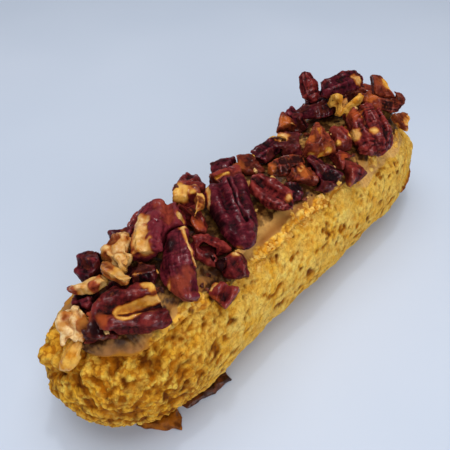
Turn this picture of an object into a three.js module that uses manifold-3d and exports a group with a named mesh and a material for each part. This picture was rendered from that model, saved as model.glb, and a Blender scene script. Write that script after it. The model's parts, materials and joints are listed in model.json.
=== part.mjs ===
// A pecan eclair: a long choux bun with a cracked sugar crust, a band of praline cream along its
// top, and pieces of candied pecan pressed onto the cream. Millimetres, +Z up, +X along the bun.
// The origin is on the flat underside, at the middle of the bun.
import * as THREE from "three";
import { mergeVertices } from "three/addons/utils/BufferGeometryUtils.js";
import Module from "manifold-3d";

const wasm = await Module();
wasm.setup();

// Driving dimensions of the bun
const BUN_LENGTH = 140;
const BUN_WIDTH = 41;
const BUN_HEIGHT = 32.5;
const WIDEST_HEIGHT = 0.45 * BUN_HEIGHT;
const UNDERSIDE_DEPTH = 1.2 * WIDEST_HEIGHT; // how far the round section would reach below the middle
const SECTION_POWER = 0.85; // under 1 gives a section squarer than an ellipse
const END_POWER = 6.7; // the higher, the blunter the two ends
const BUN_STATIONS = 55;
const BUN_SIDES = 30;

// Relief of the cracked crust
const CRAG_SIZE = 7.5;
const CRAG_DEPTH = 1;
const SWELL_SIZE = 24;
const SWELL_DEPTH = 1.1;
const CRAG_FADE = 7; // degrees over which the crags die out under the cream

// The praline cream
const CREAM_NEAR_END = -63;
const CREAM_FAR_END = 61;
const CREAM_HALF_ANGLE = 40; // degrees of the section, either side of the top
const CREAM_WAVE_ANGLE = 4.5;
const CREAM_WAVE_LENGTH = 21;
const CREAM_END_POWER = 8;
const CREAM_THICKNESS = 2;
const CREAM_RIPPLE = 0.4;
const CREAM_LIP = 0.7;
const CREAM_STATIONS = 32;
const CREAM_COLUMNS = 7;

// A whole pecan half, from which every piece is broken
const PECAN_LENGTH = 23;
const PECAN_WIDTH = 14;
const PECAN_BACK = 6; // from the rim up to the rounded back
const PECAN_BELLY = 2.6; // from the rim down to the lobes of the flat side
const PECAN_GROOVE_PLACE = 0.36; // of the half width
const PECAN_GROOVE_WIDTH = 0.12;
const PECAN_GROOVE_DEPTH = 0.5; // of the deepest; one groove is often shallower than the other
const PECAN_HOLLOW_WIDTH = 0.25;
const PECAN_HOLLOW_DEPTH = 1.9;
const PECAN_UNEVEN = 0.08; // how far the skin strays from the even shape, as a share
const PECAN_TAPER = 0.14; // how much narrower the pointed end is than the middle
const TIP_TAPER = 0.6;
const FINE_SIZE = 0.52; // the larger kinds get the finer skin from this size on
const FINE_KINDS = ["half", "broad", "slab", "stump", "slice"];
const FINE_STATIONS = 8;
const COARSE_STATIONS = 5;
const FINE_BACK = [1, 0.8, 0.58, 0.36, 0.15, -0.15, -0.36, -0.58, -0.8, -1];
const FINE_BELLY = [-0.72, -0.4, 0, 0.4, 0.72];
const COARSE_BACK = [1, 0.7, 0.36, 0, -0.36, -0.7, -1];
const COARSE_BELLY = [-0.55, 0.55];

// How the topping is laid
const GAP = 0.3; // clearance between neighbours
const BED_DEPTH = 6; // how deep under the cream a sunken piece is cut off
const BREAK_TILT = 0.22; // how much the breaks differ from piece to piece
const BREAK_SHIFT = 0.1;

const radians = THREE.MathUtils.degToRad;
const signedPower = (value, power) => Math.sign(value) * Math.abs(value) ** power;
const gauss = (value, width) => Math.exp(-((value / width) ** 2));

// Repeatable random number from 0 to 1 for a cell of a lattice
function cellRandom(i, j, k, salt) {
  let h = Math.imul(i, 374761393) ^ Math.imul(j, 668265263) ^ Math.imul(k, 2147483647 - salt);
  h = Math.imul(h ^ (h >>> 13), 1274126177) ^ Math.imul(salt + 1, 40503);
  h = Math.imul(h ^ (h >>> 15), 2246822519);
  return ((h ^ (h >>> 16)) >>> 0) / 4294967296;
}

// Distances, in cell sizes, from a point to the two nearest of a scatter of seeds
function nearestSeeds(point, size) {
  const cell = point.clone().divideScalar(size);
  const base = cell.clone().floor();
  let first = 9;
  let second = 9;
  for (let n = 0; n < 27; n++) {
    const i = base.x + (n % 3) - 1;
    const j = base.y + (Math.floor(n / 3) % 3) - 1;
    const k = base.z + Math.floor(n / 9) - 1;
    const seed = new THREE.Vector3(
      i + cellRandom(i, j, k, 1),
      j + cellRandom(i, j, k, 2),
      k + cellRandom(i, j, k, 3),
    );
    const distance = seed.distanceTo(cell);
    if (distance < first) {
      second = first;
      first = distance;
    } else if (distance < second) {
      second = distance;
    }
  }
  return { first, second };
}

// Closed skin over a row of rings of points, each ring running from +Y to +Z round +X
function loft(rings) {
  const sides = rings[0].length;
  const points = rings.flat();
  const triangles = [];
  for (let r = 0; r + 1 < rings.length; r++) {
    for (let j = 0; j < sides; j++) {
      const a = r * sides + j;
      const d = r * sides + ((j + 1) % sides);
      triangles.push(a, d, a + sides, a + sides, d, d + sides);
    }
  }
  const middleOf = (ring) =>
    ring.reduce((sum, p) => sum.add(p), new THREE.Vector3()).divideScalar(sides);
  const lastRing = (rings.length - 1) * sides;
  const start = points.push(middleOf(rings[0])) - 1;
  const end = points.push(middleOf(rings.at(-1))) - 1;
  for (let j = 0; j < sides; j++) {
    const next = (j + 1) % sides;
    triangles.push(start, next, j, end, lastRing + j, lastRing + next);
  }
  const geometry = new THREE.BufferGeometry().setFromPoints(points);
  geometry.setIndex(triangles);
  return geometry;
}

// The share of the full section that is left at a place along the bun
function endShare(x) {
  const reach = Math.min(1, Math.abs((2 * x) / BUN_LENGTH));
  return Math.sqrt(Math.max(0, 1 - reach ** END_POWER));
}

// A point of the smooth bun: angle 0 is its +Y side and 90 degrees its top
function bunPoint(x, angle) {
  const share = endShare(x);
  const rise = Math.sin(angle) > 0 ? BUN_HEIGHT - WIDEST_HEIGHT : UNDERSIDE_DEPTH;
  return new THREE.Vector3(
    x,
    (BUN_WIDTH / 2) * share * signedPower(Math.cos(angle), SECTION_POWER),
    WIDEST_HEIGHT + rise * share * signedPower(Math.sin(angle), SECTION_POWER),
  );
}

// Outward direction of the smooth bun
function bunNormal(x, angle) {
  const step = 1e-3;
  const reach = BUN_LENGTH / 2 - 2 * step;
  const inside = THREE.MathUtils.clamp(x, -reach, reach);
  const along = bunPoint(inside + step, angle).sub(bunPoint(inside - step, angle));
  const round = bunPoint(inside, angle + step).sub(bunPoint(inside, angle - step));
  return round.cross(along).normalize();
}

// Places along the bun that lie evenly along its outline, so that the round ends are as fine as the sides
function evenStations(count) {
  const samples = 4000;
  const places = [];
  const lengths = [0];
  for (let i = 0; i <= samples; i++) {
    const x = (BUN_LENGTH / 2) * Math.sin(Math.PI * (i / samples - 0.5));
    places.push(new THREE.Vector2(x, (BUN_WIDTH / 2) * endShare(x)));
    if (i > 0) {
      lengths.push(lengths[i - 1] + places[i].distanceTo(places[i - 1]));
    }
  }
  const stations = [];
  for (let i = 0; i < count; i++) {
    const wanted = (lengths[samples] * (i + 0.5)) / count;
    stations.push(places[lengths.findIndex((length) => length >= wanted)].x);
  }
  return stations;
}

// Half of the angle that the cream covers at a place along the bun: its edges wander
function creamHalfAngle(x) {
  const middle = (CREAM_NEAR_END + CREAM_FAR_END) / 2;
  const reach = Math.min(1, Math.abs(x - middle) / ((CREAM_FAR_END - CREAM_NEAR_END) / 2));
  const taper = Math.sqrt(1 - reach ** CREAM_END_POWER);
  return radians(CREAM_HALF_ANGLE * taper);
}

// How far the cream's edge on one side strays from its mean line
function creamWave(x, side) {
  const turn = (2 * Math.PI * x) / CREAM_WAVE_LENGTH;
  return radians(CREAM_WAVE_ANGLE) * (Math.sin(turn + side) + 0.6 * Math.sin(2.3 * turn - 2 * side)) * 0.6;
}

// Height of the crags and of the bun's slow swells above the smooth bun
function crustRelief(point, x, angle) {
  const { first, second } = nearestSeeds(point, CRAG_SIZE);
  const crag = Math.min(1, 2.2 * (second - first)) - 0.75 * first;
  const swell = nearestSeeds(point, SWELL_SIZE).first - 0.5;
  const fromTop = Math.abs(angle - Math.PI / 2);
  const edge = creamHalfAngle(x) + radians(CREAM_WAVE_ANGLE);
  const bare = THREE.MathUtils.smoothstep(fromTop, edge, edge + radians(CRAG_FADE));
  return bare * (CRAG_DEPTH * (crag - 0.3) + SWELL_DEPTH * swell);
}

// The choux bun with its crust, flat where it rests. "grow" makes it thicker all round by that much.
function bunGeometry(grow = 0) {
  const rings = evenStations(BUN_STATIONS).map((x) => {
    const ring = [];
    for (let j = 0; j < BUN_SIDES; j++) {
      const angle = (2 * Math.PI * j) / BUN_SIDES - Math.PI / 2;
      const smooth = bunPoint(x, angle);
      const lift = smooth.z > 0 ? crustRelief(smooth, x, angle) : 0;
      const point = smooth.addScaledVector(bunNormal(x, angle), lift + grow);
      point.z = Math.max(0, point.z);
      ring.push(point);
    }
    return ring;
  });
  return loft(rings);
}

// The cream: a band that follows the top of the bun, with a rounded top and a thin lip. "grow" makes it
// wider and thicker by that much, and "sink" takes its underside down into the bun.
function creamGeometry(grow = 0, sink = 0) {
  const rings = [];
  for (let i = 0; i < CREAM_STATIONS; i++) {
    const reach = Math.sin(Math.PI * ((i + 0.5) / CREAM_STATIONS - 0.5));
    const share = 0.35 * reach + (0.65 * (2 * (i + 0.5))) / CREAM_STATIONS - 0.65;
    const x = THREE.MathUtils.lerp(CREAM_NEAR_END, CREAM_FAR_END, (share + 1) / 2);
    const place = (column, lift) => {
      const across = 1 - (2 * column) / (CREAM_COLUMNS - 1);
      const side = Math.sign(across);
      const half = creamHalfAngle(x) + creamWave(x, side) * Math.min(1, creamHalfAngle(x) * 2);
      const angle = Math.PI / 2 - across * (half + (3 * grow) / BUN_WIDTH);
      const reached = x + 2 * grow * share;
      return bunPoint(reached, angle).addScaledVector(bunNormal(reached, angle), lift);
    };
    const ring = [];
    for (let column = 0; column < CREAM_COLUMNS; column++) {
      const across = 1 - (2 * column) / (CREAM_COLUMNS - 1);
      const crown = Math.sqrt(1 - across ** 4);
      const ripple = CREAM_RIPPLE * Math.sin(x / 2.7 + 3 * across) * Math.sin(x / 5.1 - 2 * across);
      ring.push(place(column, GAP + CREAM_LIP + crown * (CREAM_THICKNESS - CREAM_LIP + ripple) + grow));
    }
    for (let column = CREAM_COLUMNS - 1; column >= 0; column--) {
      ring.push(place(column, GAP - sink));
    }
    rings.push(ring);
  }
  return loft(rings);
}

// A whole pecan half: two grooves along its rounded back, a hollow along its flat side. Each "number" is
// uneven in its own way.
function pecanHalf(scale, stretch, taper, fine, number) {
  const stations = fine ? FINE_STATIONS : COARSE_STATIONS;
  const back = fine ? FINE_BACK : COARSE_BACK;
  const belly = fine ? FINE_BELLY : COARSE_BELLY;
  const rings = [];
  for (let i = 0; i < stations; i++) {
    const s = -Math.cos((Math.PI * (i + 0.45)) / (stations - 0.1));
    const full = 1 - Math.abs(s) ** 2.6;
    const halfWidth = (PECAN_WIDTH / 2) * full ** 0.55 * (1 - taper * s);
    const backHeight = PECAN_BACK * Math.sqrt(full);
    const bellyDepth = PECAN_BELLY * Math.sqrt(full);
    const ring = back.map((q) => {
      const depth = PECAN_GROOVE_DEPTH * (0.3 + 0.7 * cellRandom(number, Math.sign(q), 0, 9));
      const groove = depth * gauss(Math.abs(q) - PECAN_GROOVE_PLACE, PECAN_GROOVE_WIDTH);
      const round = (1 - Math.abs(q) ** 2.3) ** 0.5;
      return new THREE.Vector3(0, q * halfWidth, backHeight * round * (1 - groove * full));
    });
    for (const q of belly) {
      const hollow = PECAN_HOLLOW_DEPTH * gauss(q, PECAN_HOLLOW_WIDTH) * full;
      const round = (1 - Math.abs(q) ** 2.5) ** 0.5;
      ring.push(new THREE.Vector3(0, q * halfWidth, -bellyDepth * round * (1 - hollow)));
    }
    ring.forEach((p, j) => {
      p.multiplyScalar(1 + PECAN_UNEVEN * (2 * cellRandom(number, i, j, 8) - 1));
      p.setX((s * stretch * PECAN_LENGTH) / 2);
    });
    rings.push(ring);
  }
  return loft(rings).scale(scale, scale, scale);
}

// The breaks that make each kind of piece out of a half. A break is a plane: the material on the side
// that "keep" points to stays, and "at" is where the plane crosses that direction, in half lengths of
// the pecan along it, half widths across it and back heights up it.
const KINDS = {
  half: [],
  broad: [
    { keep: [-1, 0.18, 0.12], at: [0.42, 0, 0] },
    { keep: [0.05, -1, 0.25], at: [0, 0.8, 0] },
  ],
  slab: [
    { keep: [1, 0.12, 0.1], at: [-0.55, 0, 0] },
    { keep: [-1, 0.15, 0.1], at: [0.55, 0, 0] },
    { keep: [0.05, -1, 0.2], at: [0, 0.72, 0] },
  ],
  stump: [{ keep: [1, 0.15, -0.05], at: [-0.42, 0, 0] }],
  tip: [{ keep: [1, 0.2, -0.15], at: [-0.05, 0, 0] }],
  lobe: [
    { keep: [0.06, -1, 0.2], at: [0, 0.12, 0] },
    { keep: [-1, 0.1, 0.3], at: [0.62, 0, 0] },
  ],
  shank: [
    { keep: [0.1, 1, 0.2], at: [0, -0.2, 0] },
    { keep: [-1, -0.1, 0.3], at: [0.6, 0, 0] },
    { keep: [-0.55, -1, 0.1], at: [0, 0.8, 0] },
  ],
  block: [
    { keep: [1, 0.15, 0.1], at: [-0.34, 0, 0] },
    { keep: [-1, 0.2, 0.15], at: [0.36, 0, 0] },
    { keep: [0.1, -1, -0.1], at: [0, 0.45, 0] },
  ],
  chip: [
    { keep: [1, -0.25, 0.1], at: [-0.4, 0, 0] },
    { keep: [-0.15, 0.2, -1], at: [0, 0, 0.42] },
    { keep: [-1, -0.35, 0.1], at: [0.38, 0, 0] },
    { keep: [0.15, 1, 0.1], at: [0, -0.5, 0] },
  ],
  slice: [
    { keep: [1, 0.1, 0.05], at: [-0.15, 0, 0] },
    { keep: [-1, 0.12, 0.05], at: [0.17, 0, 0] },
  ],
  sliver: [
    { keep: [0.05, -1, 0.3], at: [0, -0.42, 0] },
    { keep: [-1, 0.2, 0.1], at: [0.6, 0, 0] },
  ],
};

function solidFrom(geometry) {
  const merged = mergeVertices(geometry, 1e-4);
  return new wasm.Manifold(
    new wasm.Mesh({
      numProp: 3,
      vertProperties: merged.attributes.position.array,
      triVerts: new Uint32Array(merged.index.array),
    }),
  );
}

function geometryFrom(solid) {
  const mesh = solid.getMesh();
  const geometry = new THREE.BufferGeometry();
  geometry.setAttribute("position", new THREE.BufferAttribute(mesh.vertProperties, 3));
  geometry.setIndex(new THREE.BufferAttribute(mesh.triVerts, 1));
  return geometry;
}

// One piece of pecan, broken from a half and centred on its own middle. No two break quite alike.
function pecanGeometry(kind, size, stretch, number) {
  const length = stretch * PECAN_LENGTH;
  const half = new THREE.Vector3(length / 2, PECAN_WIDTH / 2, PECAN_BACK).multiplyScalar(size);
  const fine = size >= FINE_SIZE && FINE_KINDS.includes(kind);
  const taper = kind === "tip" ? TIP_TAPER : PECAN_TAPER;
  let solid = solidFrom(pecanHalf(size, stretch, taper, fine, number));
  KINDS[kind].forEach(({ keep, at }, order) => {
    const chance = (salt) => 2 * cellRandom(number, order, 0, salt) - 1;
    const tilt = new THREE.Vector3(chance(4), chance(5), chance(6)).multiplyScalar(BREAK_TILT);
    const normal = new THREE.Vector3(...keep).add(tilt).normalize();
    const point = new THREE.Vector3(...at).addScalar(BREAK_SHIFT * chance(7)).multiply(half);
    solid = solid.trimByPlane(normal.toArray(), normal.dot(point));
  });
  return geometryFrom(solid).center();
}

// The topping, from the highest piece to the lowest: where two touch, the later one gives way. "along" and
// "across" say where a piece lies on the bun, "rise" how high its middle is above the bun's smooth top, and
// "stretch" how much longer the nut is than most. "turn" is its heading, "rear" lifts the leading end, and
// "roll" turns it about its length, in degrees and measured from the slope of the bun there. A roll of 180
// shows the flat side of the nut. "tone" is the colour of most of what shows: plum and red skin, toasted
// skin, or the pale inside.
const TOPPING = [
  // Pieces that lie on others
  { tone: "red", kind: "half", along: 36, across: 8.5, rise: 12.5, size: 0.45, turn: 60, rear: 55 },
  { tone: "plum", kind: "lobe", along: 43, across: 4, rise: 11.5, size: 0.8, turn: -18, rear: 3 },
  { tone: "toasted", kind: "chip", along: 52.5, across: -2, rise: 10, size: 0.74, turn: -28, roll: 25 },
  { tone: "pale", kind: "lobe", along: -49, across: 0, rise: 8.5, size: 0.42, turn: -80, roll: 60 },
  { tone: "pale", kind: "slice", along: 36, across: 0, rise: 9, size: 0.7, turn: -138, rear: 35, roll: 150 },
  { tone: "plum", kind: "stump", along: -17, across: -4, rise: 7, size: 0.85, stretch: 1.6, turn: -124 },
  { tone: "plum", kind: "shank", along: -37, across: -5, rise: 6.5, size: 0.92, stretch: 0.92, turn: 50,
    rear: 10 },
  { tone: "plum", kind: "slab", along: -33.5, across: 2.5, rise: 7.2, size: 1.05, turn: 43, rear: 2 },
  { tone: "pale", kind: "chip", along: -43, across: 5, rise: 7.2, size: 0.8, turn: -70 },
  { tone: "red", kind: "block", along: -19, across: 7, rise: 7, size: 0.9, turn: 130, rear: 15 },
  { tone: "toasted", kind: "tip", along: 22, across: 8, rise: 7.5, size: 0.5, turn: 50, rear: 40 },
  { tone: "toasted", kind: "lobe", along: 50.5, across: -5, rise: 7.5, size: 0.72, turn: -43, rear: -5 },
  { tone: "red", kind: "broad", along: 37.4, across: -8.5, rise: 6.2, size: 1.05, stretch: 0.94, turn: 53 },
  { tone: "toasted", kind: "tip", along: 21, across: -2, rise: 7, size: 0.8, stretch: 1.4, turn: 42 },
  { tone: "plum", kind: "lobe", along: 36.5, across: 5, rise: 6.8, size: 0.85, turn: -27, rear: 2 },
  { tone: "toasted", kind: "lobe", along: -53, across: 3.5, rise: 6.5, size: 0.5, turn: -38, roll: 70 },
  { tone: "pale", kind: "lobe", along: 42, across: -0.5, rise: 8, size: 0.42, turn: -5, roll: 60 },
  // Pieces that lie on the cream, from the near end to the far end
  { tone: "pale", kind: "half", along: -63, across: -1.5, rise: 3, size: 0.38, turn: 5 },
  { tone: "pale", kind: "chip", along: -58.5, across: 0.5, rise: 4.5, size: 0.75, turn: -40, roll: 10 },
  { tone: "red", kind: "block", along: -57.5, across: -3, rise: 4.5, size: 0.7, turn: -118 },
  { tone: "red", kind: "broad", along: -50.5, across: -6, rise: 5.5, size: 0.87, turn: -38, roll: 180 },
  { tone: "plum", kind: "block", along: -55, across: 3, rise: 4, size: 0.6, turn: -48 },
  { tone: "plum", kind: "block", along: -49.5, across: 0, rise: 4.5, size: 0.5, turn: -52 },
  { tone: "plum", kind: "block", along: -48.5, across: 8, rise: 5.5, size: 0.75, turn: -82, roll: 20 },
  { tone: "plum", kind: "block", along: -43, across: 0.5, rise: 4.5, size: 0.8, turn: -42 },
  { tone: "plum", kind: "block", along: -38.5, across: 8.5, rise: 5.5, size: 0.65, turn: -43 },
  { tone: "red", kind: "lobe", along: -30, across: 12.5, rise: 3.5, size: 0.6, turn: 12 },
  { tone: "red", kind: "block", along: -33.5, across: -14, rise: 4, size: 0.62, turn: -164 },
  { tone: "red", kind: "block", along: -26.5, across: -12, rise: 4.5, size: 0.65, turn: -108 },
  { tone: "red", kind: "half", along: -28, across: -7, rise: 3.8, size: 0.55, turn: -68, roll: 180 },
  { tone: "red", kind: "lobe", along: -24, across: 2.5, rise: 5.5, size: 0.65, turn: 72 },
  { tone: "pale", kind: "sliver", along: -19.5, across: 4, rise: 7, size: 0.95, turn: 50, roll: 40 },
  { tone: "red", kind: "block", along: -13, across: 12, rise: 4.5, size: 0.8, turn: 30 },
  { tone: "red", kind: "half", along: -4.5, across: -5.5, rise: 5.2, size: 0.62, turn: -90, roll: 180 },
  { tone: "red", kind: "block", along: -7, across: 5, rise: 4.5, size: 0.8, turn: -20 },
  { tone: "plum", kind: "block", along: -2.5, across: 10, rise: 4, size: 0.75, turn: -44 },
  { tone: "toasted", kind: "chip", along: 2.5, across: 6.5, rise: 4, size: 0.7, turn: -36 },
  { tone: "plum", kind: "lobe", along: 9, across: 5.5, rise: 5, size: 0.62, turn: -10, rear: 5 },
  { tone: "toasted", kind: "lobe", along: 7.5, across: -1, rise: 4.5, size: 0.65, turn: -41 },
  { tone: "toasted", kind: "block", along: 7.5, across: -6, rise: 4.5, size: 0.65, turn: -120 },
  { tone: "plum", kind: "block", along: 2.5, across: -7.5, rise: 3.5, size: 0.55, turn: -40 },
  { tone: "plum", kind: "block", along: 12, across: -9, rise: 4.5, size: 0.82, turn: -69 },
  { tone: "plum", kind: "chip", along: 15.5, across: 2.5, rise: 5.5, size: 0.75, turn: -52 },
  { tone: "red", kind: "tip", along: 23, across: -13, rise: 4, size: 0.6, turn: -30 },
  { tone: "red", kind: "tip", along: 22, across: -9, rise: 5, size: 0.55, turn: -27 },
  { tone: "red", kind: "block", along: 26, across: -4.5, rise: 5, size: 0.75, turn: -108 },
  { tone: "plum", kind: "block", along: 27, across: 8.5, rise: 5, size: 0.9, turn: 20 },
  { tone: "plum", kind: "block", along: 44, across: 10, rise: 5, size: 0.9, turn: 60 },
  { tone: "toasted", kind: "block", along: 49.5, across: 3.5, rise: 5, size: 0.7, turn: 60 },
  { tone: "pale", kind: "chip", along: 52, across: -10, rise: 5, size: 0.6, turn: -73 },
  { tone: "toasted", kind: "block", along: 57.5, across: 3, rise: 4.5, size: 0.75, turn: 80 },
  { tone: "red", kind: "block", along: 57.5, across: -4, rise: 4.5, size: 0.65, turn: 10 },
];

const CRUST = { color: 0xd3a04a, roughness: 0.85, metalness: 0 };
const CREAM = { color: 0xb08a62, roughness: 0.45, metalness: 0 };
const TONES = {
  plum: { color: 0x3d1416, roughness: 0.3, metalness: 0 },
  red: { color: 0x6b231a, roughness: 0.3, metalness: 0 },
  toasted: { color: 0x9a4f1f, roughness: 0.35, metalness: 0 },
  pale: { color: 0xd8a95a, roughness: 0.5, metalness: 0 },
};

const eclair = new THREE.Group();

function addMesh(parent, name, geometry, look) {
  const mesh = new THREE.Mesh(geometry, new THREE.MeshStandardMaterial(look));
  mesh.name = name;
  parent.add(mesh);
  return mesh;
}

// A group on the bun's smooth top that leans as the bun does there
function placeOnBun(along, across) {
  const share = Math.abs(across) / ((BUN_WIDTH / 2) * endShare(along));
  const angle = Math.acos(Math.sign(across) * Math.min(1, share) ** (1 / SECTION_POWER));
  const place = new THREE.Group();
  place.position.copy(bunPoint(along, angle));
  place.quaternion.setFromUnitVectors(new THREE.Vector3(0, 0, 1), bunNormal(along, angle));
  return place;
}

const boxOf = (geometry) => new THREE.Box3().setFromBufferAttribute(geometry.attributes.position);
const obstacle = (geometry) => ({ box: boxOf(geometry), solid: solidFrom(geometry) });

// A block with slanted corners that holds a piece with the clearance all round, in the piece's own frame
function clearanceBlock(geometry) {
  const { position } = geometry.attributes;
  const size = boxOf(geometry).getSize(new THREE.Vector3()).addScalar(2 * GAP);
  const middle = boxOf(geometry).getCenter(new THREE.Vector3());
  const block = new THREE.BoxGeometry(...size.toArray()).translate(...middle.toArray());
  let solid = solidFrom(block.deleteAttribute("normal").deleteAttribute("uv"));
  for (let n = 0; n < 27; n++) {
    const steps = new THREE.Vector3((n % 3) - 1, (Math.floor(n / 3) % 3) - 1, Math.floor(n / 9) - 1);
    if (steps.lengthSq() !== 2) {
      continue;
    }
    const out = steps.divide(size).normalize();
    let reach = -Infinity;
    for (let i = 0; i < position.count; i++) {
      reach = Math.max(reach, out.dot(new THREE.Vector3().fromBufferAttribute(position, i)));
    }
    solid = solid.trimByPlane(out.clone().negate().toArray(), -reach - GAP);
  }
  return geometryFrom(solid);
}

// Cuts away what a piece would share with others, and keeps the largest part of what is left
function giveWay(geometry, others) {
  const box = boxOf(geometry);
  const near = others.filter((other) => other.box.intersectsBox(box));
  const left = near.reduce((solid, other) => solid.subtract(other.solid), solidFrom(geometry));
  return geometryFrom(left.decompose().reduce((a, b) => (b.volume() > a.volume() ? b : a)));
}

addMesh(eclair, "choux_bun", bunGeometry(), CRUST);
addMesh(eclair, "praline_cream", creamGeometry(), CREAM);

const obstacles = [obstacle(creamGeometry(GAP, BED_DEPTH)), obstacle(bunGeometry(GAP))];
TOPPING.forEach((row, index) => {
  const { tone, kind, along, across, rise, size, stretch = 1, turn, rear = 0, roll = 0 } = row;
  const place = placeOnBun(along, across);
  eclair.add(place);
  const name = `pecan_${String(index + 1).padStart(2, "0")}`;
  const whole = pecanGeometry(kind, size, stretch, index);
  const piece = addMesh(place, name, whole, TONES[tone]);
  piece.position.z = rise;
  piece.rotation.set(radians(roll), radians(-rear), radians(turn), "ZYX");
  piece.updateWorldMatrix(true, false);
  const inPlace = giveWay(whole.clone().applyMatrix4(piece.matrixWorld), obstacles);
  piece.geometry = inPlace.applyMatrix4(piece.matrixWorld.clone().invert());
  obstacles.push(obstacle(clearanceBlock(piece.geometry).applyMatrix4(piece.matrixWorld)));
});

export default eclair;
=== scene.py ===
import json
import math
import bpy
import numpy as np
from mathutils import Matrix, Vector
from mathutils.bvhtree import BVHTree
from mathutils.kdtree import KDTree


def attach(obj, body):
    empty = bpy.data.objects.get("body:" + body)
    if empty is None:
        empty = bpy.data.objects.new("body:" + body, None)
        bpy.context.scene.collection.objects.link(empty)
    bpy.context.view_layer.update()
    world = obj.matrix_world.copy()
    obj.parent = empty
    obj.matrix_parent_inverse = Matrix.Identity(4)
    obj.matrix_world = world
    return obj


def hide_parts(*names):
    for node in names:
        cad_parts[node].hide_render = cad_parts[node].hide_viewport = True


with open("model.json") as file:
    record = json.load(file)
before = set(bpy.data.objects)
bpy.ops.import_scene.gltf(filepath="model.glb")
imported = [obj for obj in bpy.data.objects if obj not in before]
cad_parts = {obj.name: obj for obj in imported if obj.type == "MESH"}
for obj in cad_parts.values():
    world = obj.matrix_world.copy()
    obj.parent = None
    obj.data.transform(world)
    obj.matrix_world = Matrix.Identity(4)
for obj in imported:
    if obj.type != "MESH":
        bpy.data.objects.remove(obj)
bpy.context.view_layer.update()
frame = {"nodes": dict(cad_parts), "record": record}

# The bun: piped choux, baked under a thin sheet of sugar dough. The sheet set as the choux rose and tore
# into golden plates with browner choux in the tears between them. It rests on its flat underside.
MM = 0.001
CRUST_VOXEL = 0.47
PLATE_SIZE = 2.3
TEAR_DEPTH = 0.7
TEAR_LEVEL_END = 0.45  # the higher, the more of the crust is torn
TEAR_LEVEL_SIDE = 0.35
TORN_END = (28, 54)  # how far from the middle the near end's tears begin, and are at their most
FILM_REACH = 3.8  # how far a film of cream is smeared over the crust beside it
SOAK_REACH = 6.0  # how far the cream's moisture darkens the crust
BASE_HEIGHT = 10  # how high the base of the crust reaches, which has a shade of its own
LUMP_SIZE = 2.0
CRUMB_SIZE = 1.15
PIT_DEPTH = 0.5
PIT_LEVEL = 0.685
# Thick lumps that stand up round the near end and low on the side: x, y, z of the middle, radius and height
RIM_LUMPS = [
    (-60.8, 8.8, 28.4, 2.8, 1.8), (-63.6, 7.8, 25.6, 2.8, 2.1), (-66.4, 6.8, 22.4, 3, 2.4),
    (-67.2, 3.4, 24.2, 2.6, 1.7), (-64.9, -5.3, 25.2, 1.9, 1.1), (-62.6, -7.2, 26.2, 1.8, 1.2),
    (-43.5, -17.2, 4, 6, 0.4), (-36.5, -18, 4, 6, 0.4),
]
# Clefts in the crust, darkened with painted shade in their depths: the line that each follows, its half
# width and its depth
CLEFTS = [
    ([(-69.2, 6.4, 18.6), (-68.4, 2.6, 20.9), (-66.8, -1.6, 23.6)], 1, 1.3),
    ([(-44, -16.5, 27), (-45.6, -18, 24.6), (-47.4, -17.6, 25)], 0.7, 0.9),
]
# A run of caramelised sugar low on the far end: the line that it follows, its half width and its height
SUGAR_RUN = [(52.5, -18.4, 9.2), (56, -17.5, 9.2), (59.2, -16.7, 9.8), (62, -15.3, 11.2), (64, -13.6, 12.6)]
RUN_WIDTH = 1.3
RUN_HEIGHT = 1.2
# Places where a plate has come off altogether: x, y, z, radius, depth
BARE_PATCHES = [
    (-54.1, -13.9, 26.3, 2.3, 0.6), (-50, -18, 23.2, 2.4, 0.6), (-59.4, -14.2, 23.3, 1.8, 0.6),
    (-65.3, -12.1, 16.7, 1.9, 0.7),
]


def solid_copy(node, name):
    """A new piece with a solid's mesh, its loose triangles joined into one skin."""
    bpy.ops.object.select_all(action="DESELECT")
    piece = bpy.data.objects.new(name, frame["nodes"][node].data.copy())
    bpy.context.collection.objects.link(piece)
    piece.data.materials.clear()
    piece.select_set(True)
    bpy.context.view_layer.objects.active = piece
    bpy.ops.mesh.customdata_custom_splitnormals_clear()
    bpy.ops.object.mode_set(mode="EDIT")
    bpy.ops.mesh.select_all(action="SELECT")
    bpy.ops.mesh.remove_doubles(threshold=0.004 * MM)
    bpy.ops.mesh.tris_convert_to_quads(face_threshold=math.radians(30), shape_threshold=math.radians(50))
    bpy.ops.object.mode_set(mode="OBJECT")
    return piece


def apply_modifier(piece, kind, **settings):
    modifier = piece.modifiers.new(kind.lower(), kind)
    for setting, value in settings.items():
        setattr(modifier, setting, value)
    bpy.context.view_layer.objects.active = piece
    bpy.ops.object.modifier_apply(modifier=modifier.name)


def rounded(piece, voxel, times):
    """Rounds a solid's facets off and evens its surface out a number of times."""
    apply_modifier(piece, "SUBSURF", levels=2, render_levels=2)
    apply_modifier(piece, "REMESH", mode="VOXEL", voxel_size=voxel * MM)
    apply_modifier(piece, "SMOOTH", factor=0.5, iterations=times)


def points_of(piece):
    """Points in mm and their outward directions."""
    count = len(piece.data.vertices)
    points = np.empty(count * 3, np.float32)
    normals = np.empty(count * 3, np.float32)
    piece.data.vertices.foreach_get("co", points)
    piece.data.vertices.foreach_get("normal", normals)
    return points.reshape(-1, 3).astype(float) / MM, normals.reshape(-1, 3).astype(float)


def move_points(piece, points):
    piece.data.vertices.foreach_set("co", (points * MM).astype(np.float32).ravel())
    piece.data.update()


def store(piece, name, values):
    """Keeps a value for each point of a piece, for its material to read."""
    attribute = piece.data.attributes.new(name, "FLOAT", "POINT")
    attribute.data.foreach_set("value", np.clip(values, 0, 1).astype(np.float32))


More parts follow.
